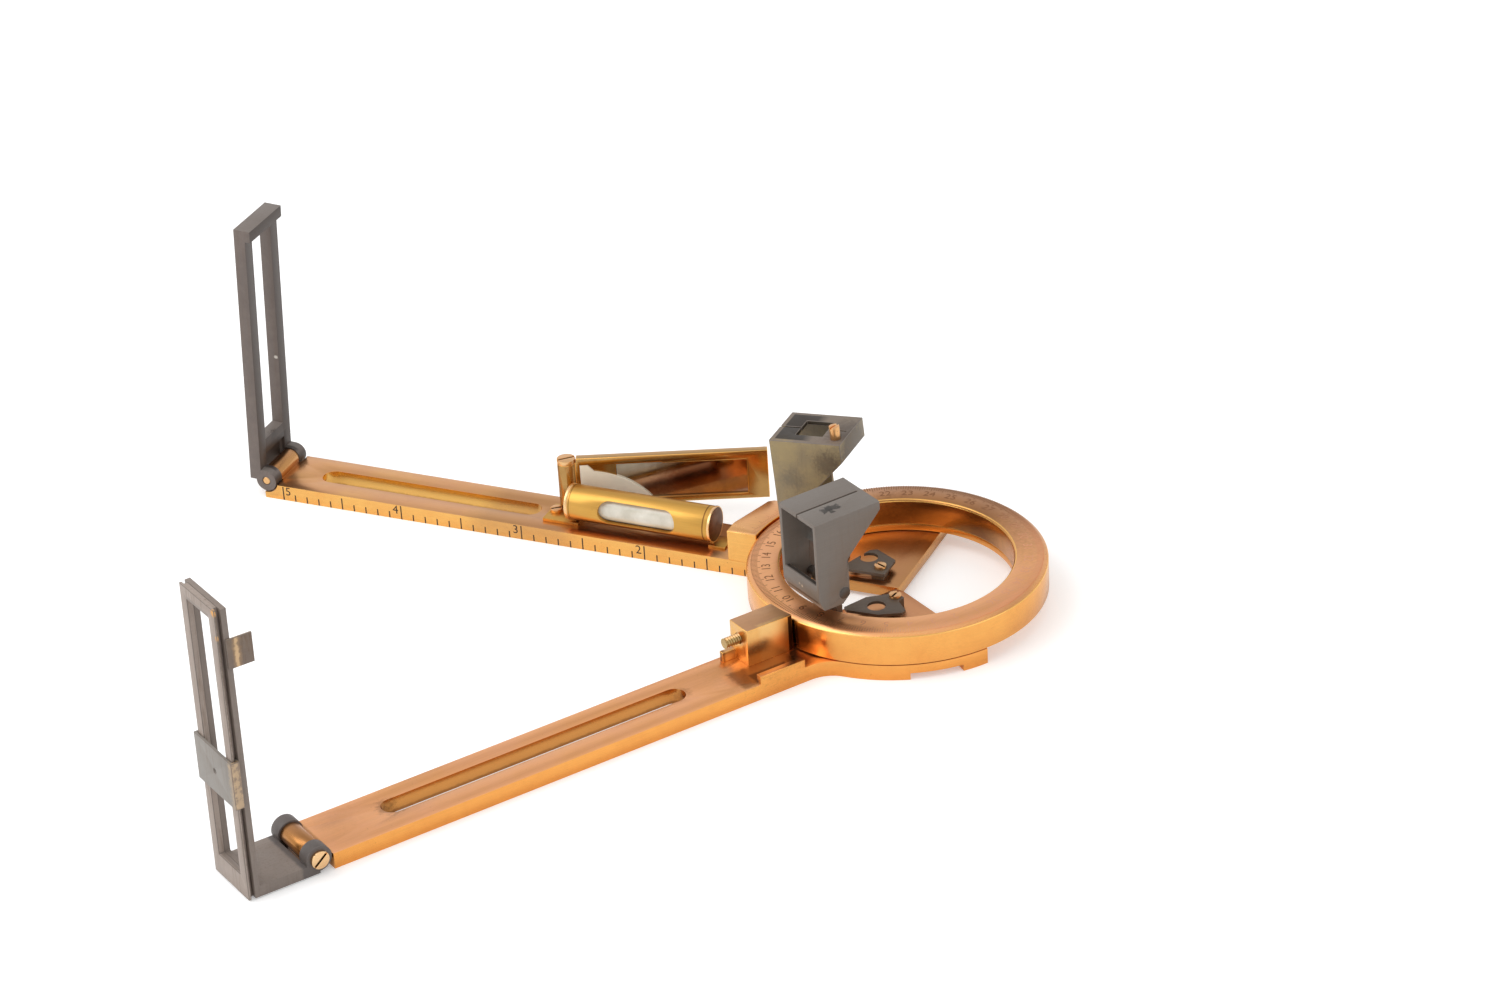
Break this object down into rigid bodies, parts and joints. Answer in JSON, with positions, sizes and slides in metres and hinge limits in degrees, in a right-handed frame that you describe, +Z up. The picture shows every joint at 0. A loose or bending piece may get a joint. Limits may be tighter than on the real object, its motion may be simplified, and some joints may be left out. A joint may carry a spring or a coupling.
{
  "type": "surveying protractor",
  "caption": "Brass folding surveying protractor: slotted arms open about a divided ring, with folding sight vanes, mirror sight boxes, a level and a swinging mirror.",
  "frame": {"origin": "axis of the divided ring, in the plane that the arms rest on", "axes": "+X out along the reading edge of the lower arm, +Y across that arm from its reading edge, +Z up along the ring's axis"},
  "size_m": [0.1683, 0.146, 0.0571],
  "materials": {
    "brass": "satin, aged",
    "ring_brass": "satin, aged, graduated",
    "lacquered_brass": "semi-gloss",
    "screw_brass": "semi-gloss",
    "blackened_brass": "satin",
    "worn_black": "satin, worn",
    "mirror_glass": "polished",
    "pale_plate": "frosted",
    "vial_glass": "polished"
  },
  "bodies": {
    "lower_assembly": {"lower_arm": "brass", "base_ring": "brass", "clamp_block": "brass", "lower_bracket": "blackened_brass", "lower_leaf": "blackened_brass", "lower_leaf_screw": "screw_brass"},
    "ring": {"divided_ring": "ring_brass"},
    "clamp": {"clamp_screw": "screw_brass"},
    "upper_assembly": {"upper_arm": "brass", "vernier_block": "brass", "level_tube": "lacquered_brass", "level_cap": "lacquered_brass", "level_vial": "vial_glass", "level_screw": "screw_brass", "mirror_screw": "screw_brass", "upper_bracket": "blackened_brass", "upper_leaf": "blackened_brass", "upper_leaf_screw": "screw_brass"},
    "swing_mirror": {"mirror_frame": "lacquered_brass", "mirror_glass": "mirror_glass", "mirror_shard": "pale_plate"},
    "upper_sight": {"upper_box": "worn_black", "upper_box_mirror": "mirror_glass", "upper_box_rivet": "screw_brass", "box_screw": "screw_brass"},
    "lower_sight": {"lower_box": "blackened_brass", "lower_box_mirror": "mirror_glass", "lower_box_rivet": "screw_brass"},
    "upper_vane_leaf": {"upper_vane": "blackened_brass", "upper_vane_pin": "screw_brass"},
    "lower_vane_leaf": {"lower_vane": "blackened_brass", "vane_front": "blackened_brass", "vane_catch": "blackened_brass", "lower_vane_screw": "screw_brass"},
    "vane_slide": {"slider_clip": "blackened_brass"}
  },
  "joints": [
    {"name": "arm_opening", "type": "hinge", "parent": "lower_assembly", "child": "upper_assembly", "pos_m": [0, 0, 0.003], "axis": [0, 0, 1], "range_deg": [-88, 56]},
    {"name": "ring_turn", "type": "hinge", "parent": "lower_assembly", "child": "ring", "pos_m": [0, 0, 0.007], "axis": [0, 0, 1], "continuous": true},
    {"name": "clamp_turn", "type": "hinge", "parent": "lower_assembly", "child": "clamp", "pos_m": [0.0335, 0.003, 0.0075], "axis": [1, 0, 0], "range_deg": [-180, 360]},
    {"name": "mirror_swing", "type": "hinge", "parent": "upper_assembly", "child": "swing_mirror", "pos_m": [0.03112, -0.06344, 0.003], "axis": [0, 0, 1], "range_deg": [-23, 70]},
    {"name": "upper_box_fold", "type": "hinge", "parent": "upper_assembly", "child": "upper_sight", "pos_m": [0.00468, -0.01811, 0.01445], "axis": [-0.8351, -0.55, 0], "range_deg": [-3, 96]},
    {"name": "lower_box_fold", "type": "hinge", "parent": "lower_assembly", "child": "lower_sight", "pos_m": [0.0194, 0.00605, 0.01445], "axis": [0, -1, 0], "range_deg": [-8, 90]},
    {"name": "upper_vane_fold", "type": "hinge", "parent": "upper_assembly", "child": "upper_vane_leaf", "pos_m": [0.0666, -0.1124, 0.0036], "axis": [-0.8351, -0.55, 0], "range_deg": [-3, 87]},
    {"name": "lower_vane_fold", "type": "hinge", "parent": "lower_assembly", "child": "lower_vane_leaf", "pos_m": [0.127, 0.0062, 0.0031], "axis": [0, -1, 0], "range_deg": [0, 89]},
    {"name": "vane_slide_travel", "type": "slide", "parent": "lower_vane_leaf", "child": "vane_slide", "axis": [-0.0052, 0, 1], "range_m": [-0.0155, 0.0275]}
  ]
}
